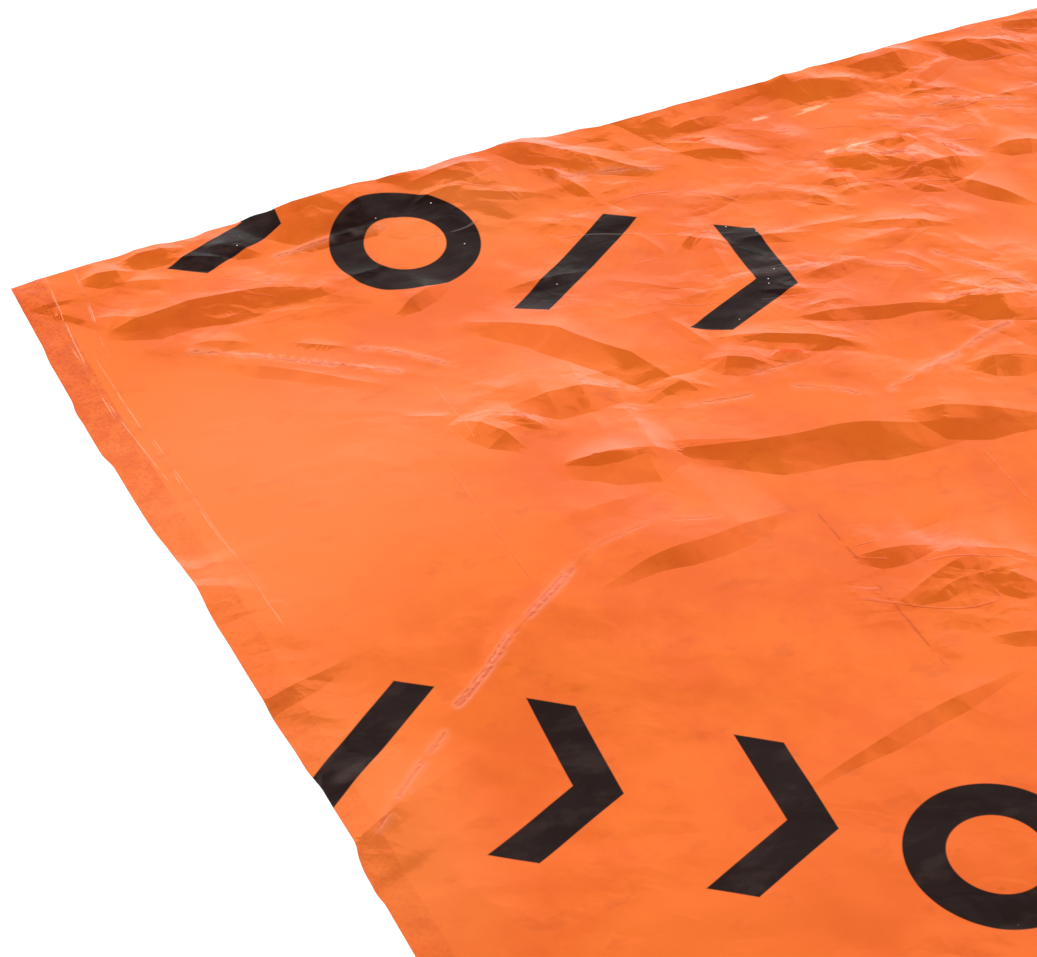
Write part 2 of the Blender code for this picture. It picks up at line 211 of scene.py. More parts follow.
# name, which edge, where along it, how far it reaches, how far the film is drawn in
edgeShifts = [
    ("weldOut", "welded", 90, 150, -2.0),
    ("weldOutTop", "welded", 72, 30, -1.1),
    ("weldNotch", "welded", 110, 26, -1.8),
    ("weldDraw", "welded", 213, 32, 0.5),
    ("weldOutLow", "welded", 275, 60, -1.0),
    ("weldDrawLow", "welded", 368, 30, 1.4),
    ("weldOutEnd", "welded", 398, 16, -1.0),
    ("plainOutA", "plain", 28, 50, -0.8),
    ("plainOutB", "plain", 105, 20, -2.4),
    ("plainInA", "plain", 150, 24, 1.3),
    ("plainOutC", "plain", 270, 26, -1.9),
    ("plainInB", "plain", 310, 26, 1.4),
    ("plainInC", "plain", 396, 16, 1.4),
    ("plainDraw", "plain", 470, 210, 3.4),
    ("plainOutD", "plain", 496, 34, -1.5),
]

# name, centre right and down, reach along and across, turn in degrees, crumpling, number of folds, their
# shortest and longest
crumpleZones = [
    ("topRight", 470, 44, 170, 60, 10, 0.68, 34, 20, 60),
    ("cluster", 404, 84, 44, 30, 20, 0.9, 10, 14, 34),
    ("rightSide", 360, 190, 130, 60, 20, 0.4, 14, 22, 60),
    ("aboveBand", 320, 120, 120, 62, 15, 0.5, 15, 16, 52),
    ("knot", 392, 204, 30, 24, 0, 0.9, 5, 12, 26),
    ("middle", 190, 186, 70, 22, 15, 0.5, 6, 16, 40),
    ("corner", 70, 40, 90, 44, 10, 0.45, 10, 16, 44),
    ("topEdge", 230, 18, 100, 34, 8, 0.6, 10, 16, 44),
    ("sideLow", 280, 350, 50, 34, 15, 0.6, 5, 16, 36),
    ("packSide", 256, 345, 11, 46, 0, 0.5, 4, 8, 16),
    ("weldSide", 8, 280, 20, 120, 0, 0.4, 3, 14, 30),
    ("farRight", 700, 180, 220, 200, 15, 0.7, 28, 40, 120),
    ("farLow", 470, 610, 420, 110, 5, 0.6, 30, 40, 120),
    ("upperMiddle", 262, 66, 112, 30, 25, 0.6, 14, 16, 44),
]

crumpleForm = {
    "least": 0.14,        # crumpling outside every zone
    "reach": 1.25,        # a zone's crumpling reaches past its folds by this
    "fade": 2.5,          # how fast it fades at the rim
}

# the small folds that are scattered over the zones
smallFold = {
    "seed": 11,
    "course": (24.0, 30.0),      # middle and spread, degrees
    "width": (0.10, 0.22),       # of the front, for each mm of run
    "tilt": (3.0, 9.0),
    "steeper": (0.6, 1.3),       # what multiplies the tilt: on calm film, and added at full crumpling
    "ways": (1.0, 1.0, 1.0, -0.8),     # three folds rise for each one that dips
    "bow": 0.08,                 # for each mm of run
    "peak": (0.3, 0.7),
    "back": (0.8, 2.4),          # for each mm of front width
}


def foldEnds(fold):
    return Vector((fold.right, fold.down)), Vector((fold.rightEnd, fold.downEnd))


def foldCourse(fold, right, down):
    runRight, runDown = fold.rightEnd - fold.right, fold.downEnd - fold.down
    run = math.hypot(runRight, runDown)
    along = ((right - fold.right) * runRight + (down - fold.down) * runDown) / run
    aside = ((down - fold.down) * runRight - (right - fold.right) * runDown) / run
    share = np.clip(along / run, 0.0, 1.0)
    return run, along, share, aside + fold.bow * np.minimum(1.0, 3.0 * np.minimum(share, 1.0 - share))


def foldTaper(fold, share):
    taper = np.minimum(share / fold.peak, (1.0 - share) / (1.0 - fold.peak))
    return np.minimum(1.0, foldForm["plateau"] * taper)


def foldSpread(taper):
    return foldForm["endSpread"] + (1.0 - foldForm["endSpread"]) * taper


def foldHeight(fold, right, down):
    run, along, share, aside = foldCourse(fold, right, down)
    taper = foldTaper(fold, share)
    spread = foldSpread(taper)
    rise = foldForm["rise"] * fold.width * math.tan(math.radians(fold.tilt)) * taper
    below = np.maximum(0.0, aside) / (foldForm["foot"] * fold.width * spread)
    above = np.maximum(0.0, -aside) / (fold.back * spread)
    front = np.maximum(0.0, 1.0 - below) ** foldForm["frontCurve"]
    return rise * front * np.maximum(0.0, 1.0 - above) ** foldForm["backCurve"]


def zoneDistance(centre, reach, turn, right, down):
    c, s = math.cos(math.radians(turn)), math.sin(math.radians(turn))
    along = (right - centre[0]) * c + (down - centre[1]) * s
    across = (down - centre[1]) * c - (right - centre[0]) * s
    return np.minimum(1.0, np.hypot(along / reach[0], across / reach[1]))


def swellHeight(swell, right, down):
    name, r0, d0, reachAlong, reachAcross, turn, rise = swell
    away = zoneDistance((r0, d0), (reachAlong, reachAcross), turn, right, down)
    return rise * 0.5 * (1.0 + np.cos(math.pi * away))


def crumpling(zones, right, down):
    amount = np.full(len(right), crumpleForm["least"])
    for name, r0, d0, reachAlong, reachAcross, turn, strength, count, shortest, longest in zones:
        reach = crumpleForm["reach"] * reachAlong, crumpleForm["reach"] * reachAcross
        away = zoneDistance((r0, d0), reach, turn, right, down)
        amount = np.maximum(amount, strength * np.minimum(1.0, crumpleForm["fade"] * (1.0 - away)))
    return amount


def crestDistance(fold, right, down):
    run, along, share, aside = foldCourse(fold, right, down)
    # the first and last tenth of a fold have no crest
    past = np.maximum(0.0, np.maximum(0.1 * run - along, along - 0.9 * run))
    return np.hypot(aside, past)


def smallFolds(zones, dice):
    folds = []
    for name, r0, d0, reachAlong, reachAcross, turn, strength, count, shortest, longest in zones:
        c, s = math.cos(math.radians(turn)), math.sin(math.radians(turn))
        steeper = smallFold["steeper"][0] + smallFold["steeper"][1] * strength
        for i in range(count):
            spread, spin = math.sqrt(dice.random()), dice.uniform(0.0, 2.0 * math.pi)
            along, across = reachAlong * spread * math.cos(spin), reachAcross * spread * math.sin(spin)
            right, down = r0 + along * c - across * s, d0 + along * s + across * c
            run = dice.uniform(shortest, longest)
            course = math.radians(smallFold["course"][0] + dice.gauss(0.0, smallFold["course"][1]))
            dr, dd = 0.5 * run * math.cos(course), 0.5 * run * math.sin(course)
            width = run * dice.uniform(*smallFold["width"])
            tilt = steeper * dice.uniform(*smallFold["tilt"]) * dice.choice(smallFold["ways"])
            bow = run * dice.uniform(-smallFold["bow"], smallFold["bow"])
            peak = dice.uniform(*smallFold["peak"])
            back = width * dice.uniform(*smallFold["back"])
            folds.append(foldShape(f"{name}{i}", right - dr, down - dd, right + dr, down + dd,
                                   bow, peak, width, tilt, back, 0.0))
    return folds


def crestLine(fold):
    start, end = foldEnds(fold)
    bow = (end - start).normalized().orthogonal() * fold.bow
    return [start, start.lerp(end, 1 / 3) - bow, start.lerp(end, 2 / 3) - bow, end]


def footLine(fold):
    start, end = foldEnds(fold)
    square = (end - start).normalized().orthogonal()
    plateau = foldForm["plateau"]
    spots = []
    for share in sorted((0.0, 1 / 3, 2 / 3, 1.0, fold.peak / plateau, 1.0 - (1.0 - fold.peak) / plateau)):
        reach = foldForm["foot"] * fold.width * foldSpread(foldTaper(fold, share))
        bow = fold.bow * min(1.0, 3.0 * share, 3.0 - 3.0 * share)
        spots.append(start.lerp(end, share) + square * (reach - bow))
    return spots


def nearLines(right, down, lines):
    away = np.full(len(right), 1e6)
    for start, end in lines:
        course = end - start
        along = ((right - start.x) * course.x + (down - start.y) * course.y) / course.length_squared
        along = np.clip(along, 0.0, 1.0)
        offRight, offDown = right - start.x - along * course.x, down - start.y - along * course.y
        away = np.minimum(away, np.hypot(offRight, offDown))
    return away


def withinFilm(start, end, width, length, rim=2.5):
    low, high = 0.0, 1.0
    for place, way, limit in ((start.x, end.x - start.x, width), (start.y, end.y - start.y, length)):
        if abs(way) < 0.001:
            high = high if rim < place < limit - rim else 0.0
        else:
            first, last = sorted(((rim - place) / way, (limit - rim - place) / way))
            low, high = max(low, first), min(high, last)
    return [(start.lerp(end, low), start.lerp(end, high))] if high > low else []


def foldLines(sheet, folds):
    # straight stretches to cut into the mesh: the weld's rim, every crest, and the wider folds' feet
    courses = [[Vector((sheet["weld"], 0.0)), Vector((sheet["weld"], sheet["length"]))]]
    for fold in folds:
        courses.append(crestLine(fold))
        if fold.width > sheet["footWidth"]:
            courses.append(footLine(fold))
    lines = []
    for spots in courses:
        for start, end in zip(spots, spots[1:]):
            lines += withinFilm(start, end, sheet["width"], sheet["length"])
    return lines


def flatFilm(sheet, folds):
    width, length, cell = sheet["width"], sheet["length"], sheet["cell"]
    across, downward = round(width / cell), round(length / cell)
    rim = [(i * width / across, 0.0) for i in range(across)]
    rim += [(width, i * length / downward) for i in range(downward)]
    rim += [(width - x, length - y) for x, y in rim]
    lines = foldLines(sheet, folds)
    rows = np.arange(0.5, length / cell)
    columns = np.arange(0.5, width / cell)
    right = (columns[None, :] + sheet["stagger"] * (-1.0) ** np.arange(len(rows))[:, None]) * cell
    down = np.repeat(rows[:, None] * cell, len(columns), axis=1)
    clear = nearLines(right.ravel(), down.ravel(), lines) > sheet["clear"] * cell
    spots = [Vector(p) for p in rim]
    spots += [Vector(p) for p in zip(right.ravel()[clear], down.ravel()[clear])]
    edges = []
    for line in lines:
        edges.append((len(spots), len(spots) + 1))
        spots += line
    points, joins, faces, *rest = delaunay_2d_cdt(spots, edges, [list(range(len(rim)))], 1, sheet["merge"])
    bm = bmesh.new()
    corners = [bm.verts.new((p.x, p.y, 0.0)) for p in points]
    for f in faces:
        bm.faces.new([corners[i] for i in f])
    bmesh.ops.delete(bm, geom=[v for v in bm.verts if not v.link_faces], context="VERTS")
    bm.normal_update()
    return bm


def refineFilm(bm, sheet):
    rightMost, rightChange = sheet["rightLimit"]
    downMost, downChange = sheet["downLimit"]
    for step in range(sheet["refinePasses"]):
        longEdges = []
        for e in bm.edges:
            middle = (e.verts[0].co + e.verts[1].co) / 2
            inRight = middle.x < rightMost + rightChange * middle.y
            inDown = middle.y < downMost + downChange * middle.x
            if e.calc_length() > (sheet["closeEdge"] if inRight and inDown else sheet["farEdge"]):
                longEdges.append(e)
        if not longEdges:
            break
        bmesh.ops.subdivide_edges(bm, edges=longEdges, cuts=1)
        bmesh.ops.triangulate(bm, faces=[f for f in bm.faces if len(f.verts) > 3])


def wander(place, phase, sheet):
    long, short = sheet["edgeWaves"]
    return sheet["edgeWave"] * (np.sin(place / long + phase) + 0.5 * np.sin(place / short + 2.0 * phase))


def drawnIn(edgeShifts, edge, along, inward):
    amount = np.zeros(len(along))
    for name, which, place, reach, size in edgeShifts:
        if which == edge:
            share = np.clip(2.0 * (1.0 - np.abs(along - place) / reach), 0.0, 1.0)
            amount += size * share ** 2 * (3.0 - 2.0 * share)
    return amount * np.maximum(0.0, 1.0 - inward / sheet["drawReach"])


def cloudAt(right, down, size, level):
    return np.array([noise.noise(Vector((r / size, d / size, level))) for r, d in zip(right, down)])


def filmHeight(sheet, folds, swells, crumple, right, down):
    height = sum(swellHeight(s, right, down) for s in swells)
    height = height + sum(foldHeight(f, right, down) for f in folds)
    step = np.clip((right - sheet["weld"]) / sheet["weldSlope"] + 1.0, 0.0, 1.0)
    step = sheet["weldStep"] * step * np.clip(height / 2.0, 0.0, 1.0)
    ripple = sum(share * cloudAt(right, down, size, level) for size, level, share in sheet["rippleWaves"])
    ripple = (sheet["ripple"][0] + sheet["ripple"][1] * crumple) * ripple
    return np.maximum(0.0, height + step + sheet["flatLift"] + ripple)


def filmPlaces(sheet, edgeShifts, right, down):
    # fold lines stray a little, cut edges wander, and folds draw the edges in
    rim = np.minimum(np.minimum(right, sheet["width"] - right), np.minimum(down, sheet["length"] - down))
    sway = sheet["sway"] * np.minimum(1.0, rim / sheet["swayRim"]) ** 1.5
    x = right + sway * cloudAt(right, down, sheet["swayScale"], 0.7)
    y = down + sway * cloudAt(right, down, sheet["swayScale"], 3.2)
    x = x + wander(down, 0.4, sheet) * (right / sheet["width"]) ** 4
    y = y + wander(right, 1.9, sheet) * (down / sheet["length"]) ** 4
    return x + drawnIn(edgeShifts, "welded", down, right), y + drawnIn(edgeShifts, "plain", right, down)


def crestFacts(sheet, folds, right, down):
    # how far the nearest crest is, and how strongly its painted highlight and painted shade show
    crest = np.full(len(right), sheet["crestReach"])
    rubbing = np.full(len(right), 0.0)
    for f in folds:
        away = crestDistance(f, right, down)
        rubbing = np.where(away < crest, f.rubbing, rubbing)
        crest = np.minimum(crest, away)
    return crest, rubbing


def buildSheet(sheet, folds, extraFolds, swells, zones, edgeShifts):
    bm = flatFilm(sheet, folds + extraFolds)
    print("fold lines cut:", len(bm.faces), "faces")
    refineFilm(bm, sheet)
    print("film refined:", len(bm.faces), "faces")
    flat = np.array([v.co for v in bm.verts])
    right, down = flat[:, 0], flat[:, 1]
    crumple = crumpling(zones, right, down)
    crest, rubbing = crestFacts(sheet, folds, right, down)
    height = filmHeight(sheet, folds + extraFolds, swells, crumple, right, down)
    x, y = filmPlaces(sheet, edgeShifts, right, down)
    flatMap = bm.loops.layers.uv.new("flat")
    for name, values in (("crest", crest), ("crumple", crumple), ("rubbing", rubbing)):
        layer = bm.verts.layers.float.new(name)
        for v, value in zip(bm.verts, values):
            v[layer] = value
    for i, v in enumerate(bm.verts):
        v.index = i
    for f in bm.faces:
        f.smooth = True
        for loop in f.loops:
            loop[flatMap].uv = (x[loop.vert.index] * mm, y[loop.vert.index] * mm)
    for i, v in enumerate(bm.verts):
        v.co = ((x[i] - sheet["width"] / 2) * mm, (sheet["length"] / 2 - y[i]) * mm,
                (height[i] + sheet["film"]) * mm)
    bm.normal_update()
    if sum(f.normal.z for f in bm.faces) < 0.0:
        bmesh.ops.reverse_faces(bm, faces=bm.faces)
    rimEdges = [i for i, e in enumerate(bm.edges) if e.is_boundary]
    mesh = bpy.data.meshes.new(sheet["name"])
    bm.to_mesh(mesh)
    bm.free()
    mesh.set_sharp_from_angle(angle=math.radians(sheet["sharpAngle"]))
    for i in rimEdges:
        mesh.edges[i].use_edge_sharp = True
    ob = bpy.data.objects.new(sheet["name"], mesh)
    bpy.context.scene.collection.objects.link(ob)
    shell = ob.modifiers.new("film", "SOLIDIFY")
    shell.thickness = sheet["film"] * mm
    shell.offset = -1.0
    # the underside and the cut rim take the second material
    shell.material_offset = 1
    shell.material_offset_rim = 1
    return ob


def newMaterial(name):
    material = bpy.data.materials.new(name)
    material.use_nodes = True
    tree = material.node_tree
    return material, tree, tree.nodes["Principled BSDF"]


def addNode(tree, kind, **values):
    node = tree.nodes.new(kind)
    for key, value in values.items():
        setattr(node, key, value)
    return node


def join(tree, source, target):
    if isinstance(source, (int, float, tuple)):
        target.default_value = source
    else:
        tree.links.new(source, target)


def calc(tree, operation, a, b=0.0, c=0.0, clamp=False):
    node = addNode(tree, "ShaderNodeMath", operation=operation, use_clamp=clamp)
    for slot, value in zip(node.inputs, (a, b, c)):
        join(tree, value, slot)
    return node.outputs[0]


def times(tree, first, *others):
    for other in others:
        first = calc(tree, "MULTIPLY", first, other)
    return first


def addTimes(tree, a, b, c):
    return calc(tree, "MULTIPLY_ADD", a, b, c)


def gap(tree, a, b):
    return calc(tree, "ABSOLUTE", calc(tree, "SUBTRACT", a, b))


def greatest(tree, best, *others):
    for other in others:
        best = calc(tree, "MAXIMUM", best, other)
    return best


def mixValue(tree, share, a, b):
    node = addNode(tree, "ShaderNodeMix", data_type="FLOAT")
    join(tree, share, node.inputs[0])
    join(tree, a, node.inputs[2])
    join(tree, b, node.inputs[3])
    return node.outputs[0]


def moveSpot(tree, place, turn=0.0, size=(1.0, 1.0, 1.0), shift=(0.0, 0.0, 0.0)):
    node = addNode(tree, "ShaderNodeMapping")
    join(tree, place, node.inputs["Vector"])
    node.inputs["Rotation"].default_value = (0.0, 0.0, math.radians(turn))
    node.inputs["Scale"].default_value = size
    node.inputs["Location"].default_value = shift
    return node.outputs[0]


def vectorCalc(tree, operation, a, b=(0.0, 0.0, 0.0), scale=1.0):
    node = addNode(tree, "ShaderNodeVectorMath", operation=operation)
    join(tree, a, node.inputs[0])
    join(tree, b, node.inputs[1])
    if operation == "SCALE":
        node.inputs["Scale"].default_value = scale
    return node.outputs["Value" if operation == "LENGTH" else "Vector"]


def split(tree, place):
    node = addNode(tree, "ShaderNodeSeparateXYZ")
    tree.links.new(place, node.inputs[0])
    return node.outputs[0], node.outputs[1]


def blendColour(tree, share, a, b):
    node = addNode(tree, "ShaderNodeMix", data_type="RGBA")
    join(tree, share, node.inputs[0])
    join(tree, a, node.inputs[6])
    join(tree, b, node.inputs[7])
    return node.outputs[2]


def smooth(tree, value, low, high, toLow=0.0, toHigh=1.0):
    node = addNode(tree, "ShaderNodeMapRange", interpolation_type="SMOOTHSTEP")
    join(tree, value, node.inputs[0])
    for slot, number in zip(list(node.inputs)[1:5], (low, high, toLow, toHigh)):
        slot.default_value = number
    return node.outputs[0]


def cloud(tree, place, size, detail=2.0, rough=0.5, output="Fac"):
    node = addNode(tree, "ShaderNodeTexNoise", noise_dimensions="2D")
    join(tree, place, node.inputs["Vector"])
    node.inputs["Scale"].default_value = 1.0 / size
    node.inputs["Detail"].default_value = detail
    node.inputs["Roughness"].default_value = rough
    return node.outputs[output]


def facets(tree, place, turn, stretch, size, metric):
    spot = moveSpot(tree, moveSpot(tree, place, turn=-turn), size=(1.0 / (size * stretch), 1.0 / size, 1.0))
    node = addNode(tree, "ShaderNodeTexVoronoi", voronoi_dimensions="2D", distance=metric)
    tree.links.new(spot, node.inputs["Vector"])
    node.inputs["Scale"].default_value = 1.0
    return times(tree, node.outputs["Distance"], size)


def flatPlace(tree):
    # the piece's own map, in millimetres from the factory corner
    flat = addNode(tree, "ShaderNodeUVMap", uv_map="flat").outputs[0]
    return vectorCalc(tree, "SCALE", flat, scale=1.0 / mm)


def attribute(tree, name):
    return addNode(tree, "ShaderNodeAttribute", attribute_name=name).outputs["Fac"]


def joinRelief(tree, shader, relief, slots):
    bump = addNode(tree, "ShaderNodeBump")
    bump.inputs["Strength"].default_value = 1.0
    bump.inputs["Distance"].default_value = mm
    tree.links.new(relief, bump.inputs["Height"])
    for slot in slots:
        tree.links.new(bump.outputs[0], shader.inputs[slot])


# wide areas of painted sheen, where the film is lighter, and painted shade, where it is deeper: centre right
# and down, reach along and across, colour, share
sheenAndShadeAreas = [
    ("smoothLeft", 38, 182, 112, 116, "sheenOrange", 1.0),
    ("lowLeft", 12, 372, 46, 96, "sheenOrange", 1.0),
    ("printGap", 200, 36, 52, 40, "sheenOrange", 1.0),
    ("lowRight", 178, 470, 90, 80, "deepOrangeAndShade", 0.6),
    ("topEdge", 215, 2, 44, 11, "deepOrangeAndShade", 0.9),
]

film = {
    # the lighter orange is painted sheen; the deeper orange is the film's own slow mottling and also painted
    # shade
    "sheenOrange": (1.0, 0.205, 0.030, 1.0),
    "orange": (1.0, 0.178, 0.012, 1.0),
    "deepOrangeAndShade": (0.92, 0.138, 0.009, 1.0),
    "weldOrange": (0.82, 0.112, 0.007, 1.0),
    # painted highlight along the crests
    "pale": (1.0, 0.29, 0.13, 1.0),
    # painted crease shade, along the hair creases and on the crests
    "creaseShadeRed": (0.80, 0.11, 0.05, 1.0),
    # dark red: the weld's stippling and the smudges, and painted shade in the score lines and along the
    # packing fold
    "grooveAndShade": (0.58, 0.075, 0.004, 1.0),
    "scoreLight": (1.0, 0.46, 0.26, 1.0),
    "glint": (1.0, 0.62, 0.36, 1.0),
    "printGlint": (0.9, 0.8, 0.75, 1.0),
    "metallic": 0.40,
    "roughness": 0.085,
    "dullRoughness": 0.16,     # added along the crests' painted highlight bands, the hair creases and the score lines
    "coat": 0.24,
    "coatRoughness": 0.05,
    "specular": (0.3, 0.1),    # bare film, printed film
    "printCoat": 0.1,          # share of the coat that is left over the print
    # facet layers: turn, stretch, size, metric, slope
    "facets": (
        (26.0, 2.4, 22.0, "MANHATTAN", 0.095),
        (64.0, 1.8, 11.0, "CHEBYCHEV", 0.070),
        (-10.0, 2.0, 5.0, "MANHATTAN", 0.030),
    ),
    "warp": (34.0, 11.0),      # size and reach of what bends the facets
    # relief of each kind of mark, in mm
    "hairRelief": 0.09,
    "crestLineRelief": -0.25,
    "weldRelief": 0.16,
    "scoreRelief": 0.08,
    # how much of its colour each kind of mark shows
    "hairTint": 0.35,
    "highlightTint": 0.55,
    "crestShadeTint": 0.52,
    "grooveTint": 0.42,
    "smudgeTint": 0.2,
    "scoreShadeTint": 0.22,
    "packShadeTint": 0.55,
    "glintTint": 0.6,
    "weldFade": (230.0, 50.0, 0.3),      # the stippling fades from, to, and what is left of it low down
    "packFold": (249.0, 288.0, 388.0),   # right, from, to
}

# name, right at its top, drift to the right for each millimetre down, from, to, strength of the painted
# highlight
scoreLines = [
    ("weldLineA", 14.5, -0.065, 0, 62, 1.0),
    ("weldLineB", 8.6, 0.010, 50, 104, 1.0),
    ("weldLineC", 4.0, 0.070, 96, 152, 0.9),
    ("weldLineD", 29.0, -0.110, 0, 40, 0.9),
    ("weldLineE", 28.0, -0.105, 4, 66, 0.6),
    ("weldLineF", 14.2, 0.028, 66, 200, 0.9),
    ("weldLineG", 17.0, 0.018, 120, 262, 0.6),
    ("packLineA", 120.0, 0.0, 205, 282, 0.0),
    ("packLineB", 143.0, -0.02, 150, 192, 0.3),
    ("packLineD", 334.0, 0.0, 286, 318, 0.25),
]

marks = {
    "turn": 36.0,          # angle of the rows
    "rowPitch": 330.0,     # distance between rows
    "rowStart": 66.0,
    "rowShift": 0.37,      # each row is shifted by this share of a cell
    "cell": 80.0,          # room for one mark
    "cellStart": 34.0,
    "half": 40.0,          # half of a mark's height
    "stroke": 16.0,
    "chevron": (0.62, 12.0, 0.60),     # lean, shift, half of the stroke
    "ring": 27.0,          # radius
    "barLean": 0.35,
    "edge": 0.35,          # softness of the print's edge
    "count": (4.0, 2.0),   # the count of cells moves on by this for each row, and starts at this
    "repeat": (9.0, 7),    # cells in one repeat, and how many of them hold a mark
    "black": (0.0145, 0.0048, 0.0036, 1.0),
    # painted sheen of the folds on the print
    "sheenBlack": (0.030, 0.015, 0.0125, 1.0),
    # painted highlight along creases in the print
    "highlightBlack": (0.17, 0.12, 0.105, 1.0),
    "creaseHighlights": (0.55, 0.35),     # how strongly painted highlight shows in the print along the hair creases and the crests
}


def chevronShape(tree, marks, side, height):
    # a stroke that leans in from both sides of the row's middle
    lean, shift, half = marks["chevron"]
    across = calc(tree, "ADD", side, addTimes(tree, height, lean, -shift))
    return calc(tree, "SUBTRACT", calc(tree, "ABSOLUTE", across), marks["stroke"] * half)


def ringShape(tree, marks, side, up):
    # the distance from a circle that nearly fills the row's height
    radius = calc(tree, "SQRT", calc(tree, "ADD", times(tree, side, side), times(tree, up, up)))
    return calc(tree, "SUBTRACT", gap(tree, radius, marks["ring"]), marks["stroke"] / 2)


def barShape(tree, marks, side, up):
    across = calc(tree, "ABSOLUTE", addTimes(tree, up, marks["barLean"], side))
    return calc(tree, "SUBTRACT", across, marks["stroke"] / 2)


def markMask(tree, place, marks):
    pitch, cell = marks["rowPitch"], marks["cell"]
    along, across = split(tree, moveSpot(tree, place, turn=-marks["turn"]))
    acrossRows = calc(tree, "ADD", across, marks["rowStart"] + pitch / 2)
    rowNumber = calc(tree, "FLOOR", calc(tree, "DIVIDE", acrossRows, pitch))
    up = calc(tree, "SUBTRACT", calc(tree, "FLOORED_MODULO", acrossRows, pitch), pitch / 2)
    alongRow = calc(tree, "ADD", along, marks["cellStart"])
    alongRow = calc(tree, "ADD", alongRow, times(tree, rowNumber, marks["rowShift"] * cell))
    cellNumber = calc(tree, "FLOOR", calc(tree, "DIVIDE", alongRow, cell))
    side = calc(tree, "SUBTRACT", calc(tree, "FLOORED_MODULO", alongRow, cell), cell / 2)
    height = calc(tree, "ABSOLUTE", up)
    pastRow = calc(tree, "SUBTRACT", height, marks["half"])
    chevron = greatest(tree, chevronShape(tree, marks, side, height), pastRow)
    bar = greatest(tree, barShape(tree, marks, side, up), pastRow)
    # of four cells, two hold a chevron, one a ring and one a bar
    kind = calc(tree, "FLOORED_MODULO", cellNumber, 4.0)
    away = mixValue(tree, calc(tree, "COMPARE", kind, 2.0, 0.1), chevron, ringShape(tree, marks, side, up))
    away = mixValue(tree, calc(tree, "COMPARE", kind, 3.0, 0.1), away, bar)
    # some marks in a row, then some places left bare
    perRow, first = marks["count"]
    count = addTimes(tree, rowNumber, perRow, calc(tree, "ADD", cellNumber, first))
    cells, printedCells = marks["repeat"]
    filled = calc(tree, "LESS_THAN", calc(tree, "FLOORED_MODULO", count, cells), printedCells - 0.5)
    return times(tree, smooth(tree, away, marks["edge"], -marks["edge"]), filled)


# painted highlights, short bright streaks: centre right and down, length, breadth, turn
glints = [
    ("edgeGlintA", 369, 25, 16, 3.4, 10),
    ("edgeGlintB", 397, 29, 26, 4.0, -4),
    ("sideGlint", 396, 66, 34, 4.6, 6),
]


def glintMask(tree, place, glints):
    masks = []
    for name, right, down, long, broad, turn in glints:
        spot = moveSpot(tree, place, shift=(-right, -down, 0.0))
        spot = moveSpot(tree, moveSpot(tree, spot, turn=-turn), size=(2.0 / long, 2.0 / broad, 0.0))
        masks.append(smooth(tree, vectorCalc(tree, "LENGTH", spot), 1.0, 0.5))
    stretched = moveSpot(tree, place, size=(0.5, 1.0, 1.0))
    return times(tree, greatest(tree, *masks), smooth(tree, cloud(tree, stretched, size=4.0), 0.40, 0.56))


def facetRelief(tree, film, place, crumple):
    # cells with flat sides, on places pushed about by a cloud
    warpSize, warpReach = film["warp"]
    push = cloud(tree, place, size=warpSize, detail=3.0, output="Color")
    push = vectorCalc(tree, "SUBTRACT", push, (0.5, 0.5, 0.5))
    bent = vectorCalc(tree, "ADD", place, vectorCalc(tree, "SCALE", push, scale=2.0 * warpReach))
    relief = 0.0
    for turn, stretch, size, metric, slope in film["facets"]:
        relief = addTimes(tree, facets(tree, bent, turn, stretch, size, metric), slope, relief)
    patchy = smooth(tree, cloud(tree, place, size=42.0, detail=1.0), 0.32, 0.62, 0.25, 1.0)
    return times(tree, relief, crumple, patchy)


def hairCreases(tree, place, crumple):
    # where a cloud crosses its middle value, broken up by another
    drawnOut = moveSpot(tree, moveSpot(tree, place, turn=-22.0), size=(0.28, 1.0, 1.0))
    trail = cloud(tree, drawnOut, size=26.0, detail=0.3)
    line = smooth(tree, gap(tree, trail, 0.5), 0.011, 0.003)
    broken = smooth(tree, cloud(tree, place, size=21.0, detail=1.0), 0.45, 0.55)
    return times(tree, line, broken, smooth(tree, crumple, 0.3, 0.62))


def crestSheenAndShade(tree, place):
    # a line of painted shade with a band of painted highlight on both sides of it, coming and going
    rubbing = attribute(tree, "rubbing")
    crestLitShare = times(tree, rubbing, smooth(tree, cloud(tree, place, size=16.0), 0.30, 0.52))
    wobble = addTimes(tree, cloud(tree, place, size=5.0), 1.4, -0.7)
    strayed = calc(tree, "ABSOLUTE", calc(tree, "ADD", attribute(tree, "crest"), wobble))
    highlightBand = times(tree, crestLitShare, smooth(tree, strayed, 4.2, 0.9))
    broad = smooth(tree, rubbing, 0.93, 0.98, 1.0, 0.46)     # the crest with the strongest painted light has a broader line of painted shade
    crushed = smooth(tree, cloud(tree, place, size=3.2), 0.30, 0.56, 0.3, 1.0)
    crestShadeLine = times(tree, crestLitShare, crushed, smooth(tree, times(tree, strayed, broad), 1.0, 0.5))
    return highlightBand, crestShadeLine


